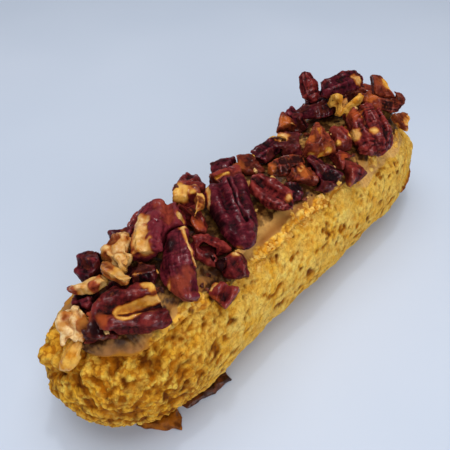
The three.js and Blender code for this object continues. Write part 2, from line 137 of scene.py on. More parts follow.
def spread(piece, values, times):
    """Evens out values over neighbouring points."""
    edges = np.empty(len(piece.data.edges) * 2, np.int32)
    piece.data.edges.foreach_get("vertices", edges)
    a, b = edges.reshape(-1, 2).T
    shares = 1 + np.bincount(a, minlength=len(values)) + np.bincount(b, minlength=len(values))
    for _ in range(times):
        total = values + np.bincount(a, values[b], len(values)) + np.bincount(b, values[a], len(values))
        values = total / shares
    return values


def ease(value, low, high):
    share = np.clip((value - low) / (high - low), 0, 1)
    return share * share * (3 - 2 * share)


def chance_at(cells, salt):
    """A repeatable number from 0 to 1 for each cell of a lattice."""
    i, j, k = (cells[:, n].astype(np.int64).astype(np.uint64) for n in range(3))
    low = np.uint64(0xFFFFFFFF)
    mix = i * np.uint64(374761393) + j * np.uint64(668265263) + k * np.uint64(1274126177)
    mix = (mix + np.uint64(salt * 97463477)) & low
    mix = ((mix ^ (mix >> np.uint64(15))) * np.uint64(2246822519)) & low
    mix = ((mix ^ (mix >> np.uint64(13))) * np.uint64(3266489917)) & low
    return ((mix ^ (mix >> np.uint64(16))) & low).astype(float) / 2**32


def mottle(points, size, salt):
    """Soft random patches of about a size, from 0 to 1."""
    places = points / size
    cells = np.floor(places)
    share = places - cells
    share = share * share * (3 - 2 * share)
    total = np.zeros(len(points))
    for n in range(8):
        step = np.array([n & 1, (n >> 1) & 1, n >> 2])
        weight = np.prod(np.where(step, share, 1 - share), axis=1)
        total += weight * chance_at(cells + step, salt)
    return total


def astray(points, size, salt):
    """Soft random steps sideways, each way by up to a half."""
    return np.stack([mottle(points, size, salt + axis) for axis in (0, 1, 2)], axis=1) - 0.5


def distance(points, place):
    """How far each point lies from a place."""
    return np.linalg.norm(points - place, axis=1)


def grains(points, size, salt):
    """Distances to the two nearest of scattered seeds, in sizes, and the nearest one's own chance."""
    places = points / size
    base = np.floor(places)
    first = np.full(len(points), 9.0)
    second = np.full(len(points), 9.0)
    own = np.zeros(len(points))
    for n in range(27):
        cells = base + np.array([n % 3 - 1, n // 3 % 3 - 1, n // 9 - 1])
        seeds = cells + np.stack([chance_at(cells, salt + axis) for axis in (1, 2, 3)], axis=1)
        away = distance(seeds, places)
        nearer = away < first
        second = np.where(nearer, first, np.minimum(second, away))
        own = np.where(nearer, chance_at(cells, salt + 4), own)
        first = np.where(nearer, away, first)
    return first, second, own


def line_distance(points, line):
    """How far each point lies from a bent line."""
    nearest = np.full(len(points), 99.0)
    for start, end in zip(line[:-1], line[1:]):
        run = np.subtract(end, start)
        share = np.clip((points - start) @ run / (run @ run), 0, 1)
        nearest = np.minimum(nearest, distance(points - start, share[:, None] * run))
    return nearest


def tree_of(mesh):
    corners = [vertex.co / MM for vertex in mesh.vertices]
    return BVHTree.FromPolygons(corners, [tuple(face.vertices) for face in mesh.polygons])


def gap_to(tree, points):
    """How far each point lies from a solid."""
    return np.array([tree.find_nearest(Vector(point))[3] for point in points])


crust = solid_copy("choux_bun", "choux_crust")
rounded(crust, CRUST_VOXEL, times=4)
points, normals = points_of(crust)
x, _, z = points.T
cream_tree = tree_of(frame["nodes"]["praline_cream"].data)
to_cream = gap_to(cream_tree, points)
covered = np.zeros(len(points))
for n, (point, normal) in enumerate(zip(points, normals)):
    covered[n] = cream_tree.ray_cast(Vector(point), Vector(normal), 5.0)[0] is not None
bare = spread(crust, 1 - covered, 2) * (1 - covered)
standing = ease(z, 0.2, 2.0)
torn_end = ease(-x, *TORN_END)
wander = astray(points, 3.0, 11)
strayed = points + 2.4 * wander + 0.9 * astray(points, 1.1, 14)
plates = (
    0.3 * mottle(strayed, PLATE_SIZE, 1)
    + 0.38 * mottle(strayed, 1.3, 2)
    + 0.32 * mottle(strayed, 0.8, 3)
)
level = TEAR_LEVEL_SIDE + (TEAR_LEVEL_END - TEAR_LEVEL_SIDE) * torn_end - 0.05 * ease(9 - z, 0, 6)
torn = 1 - ease(plates, level - 0.03, level + 0.03)
split = np.abs(0.65 * mottle(strayed, 2.6, 15) + 0.35 * mottle(strayed, 1.2, 16) - 0.5)
split = (0.15 + 0.75 * torn_end) * (1 - ease(split, 0.012, 0.05))
_, _, own = grains(strayed, LUMP_SIZE, 20)
first, second, crumb_own = grains(strayed, CRUMB_SIZE, 30)
crease = np.exp(-(((second - first) / 0.12) ** 2)) * (0.25 + 0.75 * torn_end)
drawn = (points + 2.0 * wander) * np.array([0.6, 1, 1])
pores = 0.55 * mottle(drawn, 1.1, 41) + 0.45 * mottle(drawn, 0.55, 42)
crowd = PIT_LEVEL + 0.07 - 0.14 * mottle(points, 11, 43) + 0.04 * ease(x, 10, 45)
pit = ease(pores, crowd, crowd + 0.05) * ease(z, 2, 5)
depth = TEAR_DEPTH * (0.7 + 0.6 * mottle(points, 3.4, 5)) * (0.75 + 0.35 * torn_end)
lift = -depth * torn - PIT_DEPTH * pit * (1 - torn) - 0.22 * crease - 0.35 * split * (1 - torn)
lift += (0.16 + 0.24 * torn_end) * (own - 0.5) + 0.6 * (mottle(points, 9, 7) - 0.5)
hollow = np.zeros(len(points))
for *place, radius, deep in BARE_PATCHES:
    away = distance(points + 1.8 * wander, place)
    gone = 1 - ease(away, 0.75 * radius, 1.1 * radius)
    lift -= deep * gone * (1 - torn)
    hollow = np.maximum(hollow, gone)
lump = np.zeros(len(points))
for *place, radius, high in RIM_LUMPS:
    away = distance(points + 1.2 * wander, place)
    dome = 1 - ease(away, 0.35 * radius, 1.05 * radius)
    lift = lift * (1 - 0.25 * dome) + high * dome
    lump = np.maximum(lump, dome)
for line, wide, deep in CLEFTS:
    gone = 1 - ease(line_distance(points + 1.2 * wander, line), 0.4 * wide, wide)
    lift -= deep * gone
    hollow = np.maximum(hollow, gone)
film = ease(FILM_REACH - to_cream + 1.6 * (mottle(points, 3, 9) - 0.5), 0, 1.4)
film *= ease(x, 20, 28) * ease(-x, -58, -52)
lift = spread(crust, lift, 1) + (0.22 + 0.14 * torn_end) * (crumb_own - 0.5)
lift += (0.26 + 0.14 * torn_end) * (mottle(points, 0.8, 6) - 0.5)
lift *= bare * standing * (1 - 0.8 * film)
run = 1 - ease(line_distance(points + 0.6 * wander, SUGAR_RUN), 0.3 * RUN_WIDTH, RUN_WIDTH)
points = points + normals * (lift + RUN_HEIGHT * run)[:, None]
points[:, 2] = np.maximum(points[:, 2], 0)
move_points(crust, points)
store(crust, "run", run)
cracked = np.maximum.reduce([torn, 0.7 * crease, 0.7 * split]) * (1 - 0.5 * lump)
# Browner choux shows in the tears and where plates came off, with painted shade deep in the pits and clefts
tear_and_pit_shade = np.maximum.reduce([cracked, 0.95 * pit, 0.6 * hollow])
store(crust, "tear_and_pit_shade", spread(crust, tear_and_pit_shade, 1))
store(crust, "own", own)
store(crust, "crumb", crumb_own)
soak = ease(SOAK_REACH - to_cream, 0, 5.5) * ease(mottle(points, 3, 8), 0.3, 0.75)
store(crust, "soak", soak * (1 - 0.5 * torn_end))
store(crust, "film", film)
store(crust, "foot", ease(BASE_HEIGHT - z, 0, 9))
store(crust, "end", torn_end)
store(crust, "under", ease(-normals[:, 2], 0.4, 0.9))
bpy.ops.object.shade_smooth_by_angle(angle=math.radians(34))


def colour(red, green, blue):
    """A shade given as it is seen, as the light values that a shader wants."""
    shares = [value / 255 for value in (red, green, blue)]
    return tuple(s / 12.92 if s <= 0.04045 else ((s + 0.055) / 1.055) ** 2.4 for s in shares) + (1.0,)


def add_node(tree, kind, inputs=None, **settings):
    node = tree.nodes.new(kind)
    for setting, value in settings.items():
        setattr(node, setting, value)
    for socket, value in (inputs or {}).items():
        if isinstance(value, bpy.types.NodeSocket):
            tree.links.new(value, node.inputs[socket])
        else:
            node.inputs[socket].default_value = value
    return node


def stored(tree, name):
    return add_node(tree, "ShaderNodeAttribute", attribute_name=name).outputs["Fac"]


def combine(tree, kind, a, b):
    return add_node(tree, "ShaderNodeMath", {0: a, 1: b}, operation=kind).outputs[0]


def range_of(tree, value, low, high, to_low=0.0, to_high=1.0):
    """A value, or a stored value by its name, brought from one range to another."""
    value = stored(tree, value) if isinstance(value, str) else value
    settings = {"Value": value, "From Min": low, "From Max": high, "To Min": to_low, "To Max": to_high}
    return add_node(tree, "ShaderNodeMapRange", settings).outputs["Result"]


def blend(tree, share, a, b):
    return add_node(tree, "ShaderNodeMix", {0: share, 6: a, 7: b}, data_type="RGBA").outputs[2]


def tinted(tree, base, shade, mask, low, high, at_low=0.0, at_high=1.0):
    """A colour with a shade laid over it where a mask goes from low to high."""
    shade = colour(*shade) if isinstance(shade, tuple) else shade
    return blend(tree, range_of(tree, mask, low, high, at_low, at_high), base, shade)


def patches(tree, size, detail=2.0, rough=0.5):
    """Soft random patches of a size in mm, from 0 to 1."""
    place = add_node(tree, "ShaderNodeTexCoord").outputs["Object"]
    plain = isinstance(size, (int, float))
    scale = 1 / (size * MM) if plain else combine(tree, "DIVIDE", 1 / MM, size)
    settings = {"Vector": place, "Scale": scale, "Detail": detail, "Roughness": rough}
    return add_node(tree, "ShaderNodeTexNoise", settings).outputs["Fac"]


def clumps(tree, size):
    """How far a place is from the middle of the grain of a size in mm that it lies in."""
    grain = size * MM
    place = add_node(tree, "ShaderNodeTexCoord").outputs["Object"]
    noise = add_node(tree, "ShaderNodeTexNoise", {"Vector": place, "Scale": 0.6 / grain}).outputs["Color"]
    push = add_node(tree, "ShaderNodeVectorMath", {0: noise, "Scale": 1.4 * grain}, operation="SCALE")
    pushed = add_node(tree, "ShaderNodeVectorMath", {0: place, 1: push.outputs[0]}, operation="ADD")
    settings = {"Vector": pushed.outputs[0], "Scale": 1 / grain}
    return add_node(tree, "ShaderNodeTexVoronoi", settings).outputs["Distance"]


def bumped(tree, height, strength, distance):
    settings = {"Height": height, "Strength": strength, "Distance": distance * MM}
    return add_node(tree, "ShaderNodeBump", settings).outputs["Normal"]


def new_material(name, **shader_values):
    """A material with its shader, whose plain values are set on the shader itself."""
    material = bpy.data.materials.new(name)
    material.use_nodes = True
    shader = material.node_tree.nodes["Principled BSDF"]
    for socket, value in shader_values.items():
        shader.inputs[socket.replace("_", " ")].default_value = value
    return material, material.node_tree, shader


def lead(tree, shader, **outputs):
    """Leads what a finish works out to the sockets of its shader."""
    for socket, output in outputs.items():
        tree.links.new(output, shader.inputs[socket.replace("_", " ")])


def new_effect(name, inputs, outputs):
    """An effect that several finishes share, with named ways in and out."""
    tree = bpy.data.node_groups.new(name, "ShaderNodeTree")
    for socket, kind in inputs.items():
        tree.interface.new_socket(socket, in_out="INPUT", socket_type="NodeSocket" + kind)
    for socket, kind in outputs.items():
        tree.interface.new_socket(socket, in_out="OUTPUT", socket_type="NodeSocket" + kind)
    return tree, tree.nodes.new("NodeGroupInput").outputs, tree.nodes.new("NodeGroupOutput").inputs


def effect(tree, shared, **values):
    return add_node(tree, "ShaderNodeGroup", values, node_tree=shared).outputs


two_shades, ways_in, ways_out = new_effect(
    "two_shades", {"First": "Color", "Second": "Color", "Size": "Float"}, {"Colour": "Color"}
)
share = range_of(two_shades, patches(two_shades, ways_in["Size"]), 0.36, 0.64)
two_shades.links.new(blend(two_shades, share, ways_in["First"], ways_in["Second"]), ways_out["Colour"])


def shades(tree, first, second, size):
    """Two shades in soft patches of a size in mm."""
    return effect(tree, two_shades, First=colour(*first), Second=colour(*second), Size=size)["Colour"]


crumbly, ways_in, ways_out = new_effect("crumbly", {"Size": "Float"}, {"Height": "Float"})
fine = patches(crumbly, ways_in["Size"], 3.0, 0.7)
coarse = patches(crumbly, combine(crumbly, "MULTIPLY", ways_in["Size"], 3.2))
coarse = combine(crumbly, "MULTIPLY", coarse, 0.8)
crumbly.links.new(combine(crumbly, "ADD", fine, coarse), ways_out["Height"])

craquelin, tree, shader = new_material("craquelin", Specular_IOR_Level=0.1)
gold = shades(tree, (248, 188, 62), (255, 211, 102), 5)
gold = tinted(tree, gold, (255, 224, 118), "own", 0.55, 1.0, 0, 0.7)
gold = tinted(tree, gold, (228, 148, 22), "own", 0.0, 0.35, 0.45, 0)
gold = tinted(tree, gold, (255, 184, 22), "end", 0, 1, 0, 0.5)
crumbled = range_of(tree, "end", 0, 1, 0.35, 1)
pale_crumbs = range_of(tree, "crumb", 0.55, 0.9, 0, 0.7)
gold = blend(tree, combine(tree, "MULTIPLY", pale_crumbs, crumbled), gold, colour(255, 226, 104))
brown_crumbs = range_of(tree, "crumb", 0.05, 0.35, 0.5, 0)
gold = blend(tree, combine(tree, "MULTIPLY", brown_crumbs, crumbled), gold, colour(216, 138, 14))
gold = tinted(tree, gold, (244, 188, 66), "foot", 0, 1, 0, 0.35)
stain = range_of(tree, patches(tree, 2.6, 3.0), 0.54, 0.68, 0, 0.6)
stain = combine(tree, "MULTIPLY", stain, range_of(tree, "end", 0, 1, 1, 0.35))
gold = blend(tree, stain, gold, colour(208, 134, 8))
gold = tinted(tree, gold, (206, 130, 10), "soak", 0, 1, 0, 0.45)
gold = tinted(tree, gold, (208, 122, 6), patches(tree, 0.6, 3.0, 0.7), 0.44, 0.64, 0, 0.26)
gold = tinted(tree, gold, (124, 70, 4), patches(tree, 0.45), 0.62, 0.7, 0, 0.5)
# Painted shade in the sunken gaps between the grains, most of it on the crumbly near end
clump = clumps(tree, 1.2)
gaps = combine(tree, "MULTIPLY", range_of(tree, clump, 0.5, 0.76, 0, 0.75), crumbled)
gold = blend(tree, gaps, gold, colour(164, 84, 0))
amber = shades(tree, (108, 52, 0), (182, 106, 6), 2.2)
# Amber choux in the tears, and painted shade in the pits and clefts
shade = tinted(tree, gold, amber, "tear_and_pit_shade", 0.15, 0.8)
smeared = shades(tree, (218, 160, 88), (238, 188, 116), 3)
shade = tinted(tree, shade, smeared, "film", 0.2, 0.8, 0, 0.85)
burnt = shades(tree, (98, 42, 6), (176, 94, 14), 1.8)
shade = tinted(tree, shade, burnt, "run", 0.15, 0.6, 0, 0.95)
shade = tinted(tree, shade, (168, 104, 40), "under", 0, 1, 0, 0.7)
grain = combine(tree, "SUBTRACT", effect(tree, crumbly, Size=0.45)["Height"], clump)
gloss = range_of(tree, patches(tree, 1.4), 0.3, 0.7, 0.62, 0.85)
relief = bumped(tree, grain, strength=0.8, distance=0.5)
lead(tree, shader, Base_Color=shade, Roughness=gloss, Normal=relief)
crust.data.materials.append(craquelin)
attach(crust, "root")
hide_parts("choux_bun")

# The praline cream: a soft band spread along the top of the bun with a small knife. It holds the nuts,
# climbs a little where they press into it, and is darkened by their caramel and by painted shade in the
# gaps.
CREAM_VOXEL = 0.42
CLIMB_HEIGHT = 0.7
CLIMB_REACH = 1.6
SMEAR_DEPTH = 0.9
SMEAR_STRETCH = 3.2  # how many times as long as wide the marks of the knife are
KNIFE_WAY = (0.67, -0.74)  # where the knife went across the near end
CREAM_END = (49, 56)  # how far from the middle the cream's near end begins, and is all of it
LOOKS_ROUND = 12  # directions in which nuts are looked for round each place
# Where caramel dripped on the cream and painted shade under a nut, and a dab of cream that shows between two
# nuts: x, y, z and radius
DRIPS_AND_SHADE = [
    (-46.5, -13.1, 30.1, 1.3), (-40.3, -13.1, 30.7, 1.4), (-54.2, -9.9, 31.2, 2.2),
    (-50.4, -12, 30.4, 1.2),
]
DAB = (-43.5, -11.6, 31.4, 2)

pecan_nodes = sorted(name for name in frame["nodes"] if name.startswith("pecan_"))
corners = []
facets = []
facet_owner = []
for owner, node in enumerate(pecan_nodes):
    mesh = frame["nodes"][node].data
    start = len(corners)
    corners += [vertex.co / MM for vertex in mesh.vertices]
    facets += [tuple(start + corner for corner in face.vertices) for face in mesh.polygons]
    facet_owner += [owner] * len(mesh.polygons)
pecan_tree = BVHTree.FromPolygons(corners, facets)
bun_tree = tree_of(frame["nodes"]["choux_bun"].data)

cream = solid_copy("praline_cream", "praline_icing")
rounded(cream, CREAM_VOXEL, times=3)
points, normals = points_of(cream)
to_nut = gap_to(pecan_tree, points)
thick = gap_to(bun_tree, points)
upper = ease(normals[:, 2], 0.1, 0.5)
x, y, z = points.T
near = ease(-x, *CREAM_END)
to_x, to_y = KNIFE_WAY
drawn = np.column_stack([x / SMEAR_STRETCH, y, z])
swept = np.column_stack([(to_x * x + to_y * y) / SMEAR_STRETCH, to_x * y - to_y * x, z])
smear = drawn * (1 - near[:, None]) + swept * near[:, None] + 1.2 * astray(points, 2.6, 64)
lift = SMEAR_DEPTH * (mottle(smear, 2.4, 61) - 0.5) + 0.5 * (mottle(smear, 1.1, 62) - 0.5)
lift += CLIMB_HEIGHT * np.exp(-to_nut / CLIMB_REACH) + 0.3 * (mottle(points, 1.0, 65) - 0.5)
brim = (1 - ease(thick, 0.6, 2.2)) * ease(x, -54, -44)
lift -= brim * (0.35 + 1.5 * (0.6 * mottle(points, 3.4, 68) + 0.4 * mottle(points, 1.4, 69) - 0.5))
frayed = (1 - ease(thick, 0.6, 2.4)) * (mottle(points, 2.6, 59) - 0.4)
lift += near * (0.8 * (mottle(smear, 1.5, 60) - 0.5) + frayed)
outward = -y - 0.9 * ease(x, -38, -34) + 3.0 * (mottle(points, 2.2, 57) - 0.5)
crumbed = ease(outward, 11.0, 12.0) * ease(x, -57, -54.5) * ease(-x, -14, -6)
_, _, crumb_own = grains(points + 0.9 * astray(points, 1.1, 14), CRUMB_SIZE, 30)
lift += crumbed * (0.9 * crumb_own + 0.5 * (mottle(points, 0.8, 58) - 0.5))
move_points(cream, points + normals * (lift * upper)[:, None])
# How closely nuts hem in each place, for the painted shade in the gaps between them
enclosed = np.zeros(len(points))
raised = [Vector(point) for point in points + 0.4 * normals]
for n in range(LOOKS_ROUND):
    way = Vector((math.cos(2.4 * n), math.sin(2.4 * n), 0.35 + 0.1 * (n % 4)))
    enclosed += [pecan_tree.ray_cast(place, way, 9)[0] is not None for place in raised]
beside_nuts = np.exp(-np.maximum(to_nut - 0.4, 0) / (0.8 + 1.4 * near))
# Dark caramel and painted shade in the gaps between the nuts, beside and under them, and where caramel
# dripped
caramel_and_gap_shade = 1.1 * ease(enclosed / LOOKS_ROUND, 0.56, 0.9) + (0.9 + 0.3 * near) * beside_nuts
caramel_and_gap_shade *= 1 + 0.5 * ease(x, 0, 20)
for *place, radius in DRIPS_AND_SHADE:
    away = distance(points + 2.0 * astray(points, 1.3, 55), place)
    caramel_and_gap_shade = np.maximum(caramel_and_gap_shade, 0.75 * (1 - ease(away, 0.2 * radius, 1.2 * radius)))
store(cream, "stain", caramel_and_gap_shade * (0.6 + 0.8 * mottle(points, 3.2, 67)))
dab = 1 - ease(distance(points, DAB[:3]), 0.5 * DAB[3], DAB[3])
store(cream, "smear", np.maximum(mottle(smear, 2.0, 63), dab))
store(cream, "crumbed", spread(cream, crumbed, 1))
store(cream, "crumb", crumb_own)
store(cream, "near", near)
store(cream, "thin", 1 - ease(thick + 1.2 * (mottle(points, 1.8, 66) - 0.5), 0.7, 1.7))
bpy.ops.object.shade_smooth()

praline, tree, shader = new_material("praline_cream", Specular_IOR_Level=0.15)
tan = tinted(tree, colour(158, 102, 44), (206, 154, 82), "smear", 0.25, 0.75)
tan = tinted(tree, tan, (150, 92, 40), patches(tree, 5), 0.4, 0.7, 0, 0.5)
tan = tinted(tree, tan, (176, 118, 68), "near", 0, 1, 0, 0.55)
tan = tinted(tree, tan, (196, 126, 18), "thin", 0.2, 0.9, 0, 0.85)
gold = shades(tree, (222, 150, 30), (250, 196, 76), 3)
gold = tinted(tree, gold, (255, 222, 124), "crumb", 0.6, 0.95, 0, 0.5)
gold = tinted(tree, gold, (176, 98, 4), "crumb", 0.05, 0.4, 0.8, 0)
# Painted shade in the sunken gaps between the grains of the crumbs
gold = tinted(tree, gold, (156, 80, 0), clumps(tree, 1.2), 0.5, 0.72, 0, 0.6)
tan = tinted(tree, tan, gold, "crumbed", 0.25, 0.7)
patchy = range_of(tree, patches(tree, 1.6), 0.3, 0.6, 0.5, 1.0)
# The stain is dark caramel and painted shade in the gaps between the nuts and under them
stain = combine(tree, "MULTIPLY", stored(tree, "stain"), patchy)
tan = tinted(tree, tan, (46, 16, 6), stain, 0.2, 0.85, 0, 0.95)
gloss = range_of(tree, stain, 0.2, 0.8, 0.6, 0.35)
grain = effect(tree, crumbly, Size=0.5)["Height"]
relief = bumped(tree, grain, strength=0.3, distance=0.3)
lead(tree, shader, Base_Color=tan, Roughness=gloss, Normal=relief)
cream.data.materials.append(praline)
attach(cream, "root")
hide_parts("praline_cream")

# The pecans: halves and broken bits, candied in a dark caramel. Each is wrinkled lengthwise, with a glossy
# skin and pale, grainy flesh where it broke. They are pressed into the cream or lie on one another.
PECAN_VOXEL = 0.28
SHARP_EDGE = 48
BREAK_AREA = 3.0  # the smallest flat face, in square mm, that counts as a break
CONTACT_REACH = 1.2
RIM_WIDTH = 0.5
WRINKLE = 0.3
EVENED_OUT = 7  # how many times the surface of a nut is evened out
CONTACT_SHADE_REACH = 4.0  # how far from what a nut touches its painted contact shade reaches
# In these lists a nut goes by its number. Nuts with a smoother back, and how often it is evened out
SOFTENED = {6: 45, 14: 16, 21: 12, 28: 9, 29: 50, 30: 12, 39: 12, 40: 12}
FOLDED = {6: 0.1, 28: 0.4, 29: 0.2}  # how much of the lengthwise folds is left
# Nuts whose skin is more wrinkled than the rest or less, and how many times as much
WRINKLED = {1: 1.6, 13: 2.2, 14: 1.8, 20: 1.6, 21: 0.5, 28: 0.6, 29: 0.4, 34: 1.3}
# Nuts that are darker than the rest of their kind, or lighter, and by how much
DEEPER = {
    1: 0.2, 2: 0.14, 6: 0.04, 8: -0.22, 11: 0.14, 12: 0.34, 14: -0.1, 15: 0.18, 20: 0.2, 21: 0.2, 22: 0.3,
    24: 0.1, 25: 0.4, 26: 0.3, 28: 0.16, 29: 0.05, 36: 0.2, 37: 0.2, 38: 0.15, 39: 0.32, 40: 0.3,
    41: 0.35, 42: 0.24, 43: 0.25, 47: 0.3, 49: 0.25, 50: 0.36,
}
# Nuts whose breaks are coated over like their skin
COATED = {6, 7, 8, 21, 28, 29, 30}
# How much of a break is left pale: the darker nuts are coated over all but the rim of it
BREAK_SHOWS = {"pecan_plum": -0.7, "pecan_red": -0.6, "pecan_toasted": -0.4, "pecan_pale": 0.4}
# Nuts with flesh laid bare all over: how much of it shows, how golden it is and how knobbly
FLESH_SHOWS = {
    3: (0, 1, 0.3), 4: (0.45, 0.5, 0.8), 5: (0.95, 1.1, 0.6), 9: (0.65, 0.3, 1.5), 10: (0.1, 1, 0.6),
    13: (0, 0.6, 0.4), 14: (0, 1, 0.3), 16: (0.7, 0.5, 0.8), 17: (0.9, 1.1, 0.6), 18: (1, 1, 0.25),
    19: (0.85, 0, 1.8), 21: (0, 0.9, 0.4), 32: (0.12, 0.6, 0.5), 35: (0, 1, 0.5), 46: (0, 0.8, 0.5),
    50: (0.1, 0.8, 0.6),
}
PLAIN_FLESH = (0, 0.5, 0.5)  # the same for any other nut
# Flesh laid bare, skin left on, skin under thick caramel and painted shade, skin roasted orange: x, y, z,
# radius
PALE_TOUCHES = [
    (-36.4, 6.7, 42.2, 2.4), (-37.6, 5.3, 41.8, 2), (-39, 4.3, 42, 2.4), (-40.2, 3.4, 42.1, 2.6),
    (-40.7, 1.2, 41, 2.8), (-35.6, 8.7, 41.8, 1.8), (-28.9, 1.4, 42, 1.5), (-25, -12.6, 37.2, 1.6),
    (-22.2, 9.5, 41.8, 2.6), (-20.6, 10.6, 41.2, 2.6), (-22.6, 8, 40.6, 2.4), (-21, 8.2, 41.8, 2.2),
    (-3.4, -10.8, 38.5, 1.2), (-46.2, -7.7, 40.5, 1.8), (-46.8, -6.6, 40.6, 1.5), (47.6, 2.2, 45, 2.4),
    (30.4, -8.4, 38.1, 2.4), (34.4, -12.3, 40, 1.5), (56.4, -3.6, 41.4, 2.6), (52.8, -14.2, 34.1, 1.8),
    (14.4, 5, 39.8, 2.2), (23.9, -7, 38.7, 1.5), (41, 1.6, 39.4, 1.8), (-50.7, -0.6, 42, 2),
    (-55.2, 4, 39.2, 2.4), (-44.9, 5.8, 40.3, 2.4), (-44.4, 1.9, 40.9, 2.6), (15, -4.6, 37.9, 1.2),
    (17.4, -6.1, 37.3, 1.4), (19.5, -7.3, 38.5, 1.2), (-24.9, -0.4, 41.8, 1.3), (-30.7, -1.6, 42.7, 1.5),
    (-28.2, 1.5, 40.9, 1.8),
]
SKIN_TOUCHES = [
    (-43.2, 9.2, 40.4, 2.6), (-46.8, 6.6, 38.5, 1.8), (-57.8, 6.8, 36.4, 2.2), (-53.8, 2.1, 38.5, 2),
    (-50.7, -2, 39.9, 1.8), (-59, -1.6, 35.6, 1.8), (15.1, 0.8, 39.7, 1.6), (33.1, 0.8, 42.3, 1.9),
    (-22, 2.4, 42.2, 2.4), (50.6, -11.7, 35.5, 2.6), (50.2, -13.7, 33.7, 2.2), (-60.5, -1.4, 34.9, 1.8),
    (-61.5, -5.2, 34.3, 2.4), (-60.4, -4.8, 33, 3.2),
]
DARK_AND_SHADED_TOUCHES = [
    (-60.7, -4.6, 35.5, 3.4), (-58.6, -5, 35.2, 3.4), (-36.3, -2.9, 42, 2),
    (-30.1, -8.9, 37.6, 1.6), (-21.9, -3.8, 39.2, 2.6), (-22.9, -5.8, 39.1, 2.4),
    (-21, -1.6, 39.4, 2.4), (-22.2, -4.4, 36.4, 3.2), (-37.6, -4, 41.7, 1.4),
    (-28.1, -7.4, 35.8, 1.8),
]
WARM_TOUCHES = [
    (-30.3, 3.2, 41.6, 3.6), (-29, 6.6, 42.6, 3.2), (-41, -10.6, 38.6, 3.8),
    (-42.3, -10.2, 36.1, 3.2), (-39.4, -11, 40.1, 2.8), (-29.9, 5, 41.9, 3.4),
    (-26.5, -1.5, 39.6, 3), (-36.2, -15.6, 32.2, 1.9), (-58.2, -5.6, 38.4, 2.4),
    (34.7, -4.5, 41.4, 3.4), (7.6, -8.3, 38.6, 2.6), (3.5, 0.6, 37.4, 2.6), (-0.5, 7.4, 37, 2.6),
    (17, -5.9, 37.7, 3), (19.4, -7.2, 38.9, 2.6), (16.9, -1.6, 41, 3), (20.9, 8.8, 40, 3),
    (21.7, -11.3, 37.4, 2.2), (47.6, -3.2, 40.7, 2.6), (54.6, -3, 42, 3.6), (-59.2, -1, 36, 2.6),
]
# Thin rims and strips of flesh: the line that each follows and its half width
PALE_LINES = [
    ([(-31, -1, 42.6), (-32.3, -3.3, 42.8), (-33.8, -5.8, 42.4), (-34.8, -8.4, 41),
      (-35.8, -10.8, 39)], 0.36),
    ([(-41.9, -7.8, 39.1), (-42.4, -8.2, 37.4), (-42.6, -8.4, 36)], 0.55),
    ([(56, -2.4, 42.4), (56.4, -4.2, 41.4), (56.6, -6, 40.2)], 1.2),
    ([(-54.2, -5.6, 36.9), (-52.2, -6.4, 37.2), (-50.2, -7.6, 37.4), (-48.4, -8.9, 38.1),
      (-46.7, -10.2, 38.3)], 1.2),
    ([(-54.8, -5.4, 37.6), (-55.8, -7.5, 38.8), (-55.2, -8.9, 38.9), (-53.7, -9.8, 39),
      (-52.1, -10.2, 38.7)], 0.45),
    ([(-17, 4.4, 41.6), (-18, 2.8, 41.6), (-19.7, 0.8, 40.2), (-20.2, 0.4, 38.6)], 0.75),
    ([(-10.2, 7.6, 38.4), (-8.4, 6.8, 39), (-6.8, 6.2, 39)], 0.4),
    ([(-32.8, -13.7, 33.8), (-33.6, -13.6, 33.7), (-34.6, -13.5, 33.2)], 0.7),
]
# A hollow in the curled nut: x, y, z, radius and depth
DENTS = [(33.1, 0.8, 42.3, 2.7, 2.2)]
# Corners worn blunt: the place of each, how far back it is worn and how far in
BLUNTED = {29: ((-24.4, -18.5, 33.2), 4.5, 1.9)}
# Deep furrows between the lobes of a nut, darkened with painted shade: the line that each follows, its half
# width and its depth
FURROWS = {
    6: ([(-11.1, 2.2, 43), (-12.7, -0.2, 43), (-14.5, -2.8, 42.9), (-16.3, -5.9, 42.4),
         (-18.2, -9.6, 40.4)], 0.9, 1.2),
    30: ([(-28.6, -5.4, 36.7), (-28, -7.6, 35.8), (-28.8, -9.8, 36.6), (-29.4, -12, 36.2)], 1, 2.4),
}


def breaks_of(mesh, owner):
    """Which faces of a solid are breaks that show, and points along the rims of those breaks."""
    normals = np.array([face.normal for face in mesh.polygons])
    centres = np.array([face.center for face in mesh.polygons]) / MM
    areas = np.array([face.area for face in mesh.polygons]) / MM**2
    heights = (normals * centres).sum(axis=1)
    group = np.full(len(normals), -1)
    shows = np.zeros(len(normals))
    for n in np.argsort(-areas):
        if group[n] >= 0:
            continue
        same = (normals @ normals[n] > 0.9995) & (np.abs(centres @ normals[n] - heights[n]) < 0.02)
        same &= group < 0
        group[same] = n
        if same.sum() < 3 or areas[same].sum() < BREAK_AREA:
            continue
        open_area = 0
        for m in np.nonzero(same)[0]:
            start = Vector(centres[m] + 0.03 * normals[m])
            hit = pecan_tree.ray_cast(start, Vector(normals[m]), CONTACT_REACH)[2]
            open_area += areas[m] * (hit is None or facet_owner[hit] == owner)
        shows[same] = open_area > 0.5 * areas[same].sum()
    sides = {}
    for face in mesh.polygons:
        for a, b in face.edge_keys:
            ends = sorted(tuple(round(v / MM, 2) for v in mesh.vertices[c].co) for c in (a, b))
            sides.setdefault(tuple(ends), []).append(face.index)
    rim = []
    for (start, end), faces in sides.items():
        if len({group[f] for f in faces}) > 1 and shows[faces].max() > shows[faces].min():
            steps = max(2, int(np.linalg.norm(np.subtract(end, start)) / 0.4))
            rim += [tuple(np.add(start, np.subtract(end, start) * s / steps)) for s in range(steps + 1)]
    return shows, rim


def touched(points, touches):
    """How deep each point lies in touches of a colour: 1 in the middle of one, 0 at its edge."""
    mask = np.full(len(points), -9.0)
    for *place, radius in touches:
        mask = np.maximum(mask, 1 - distance(points, place) / radius)
    return mask


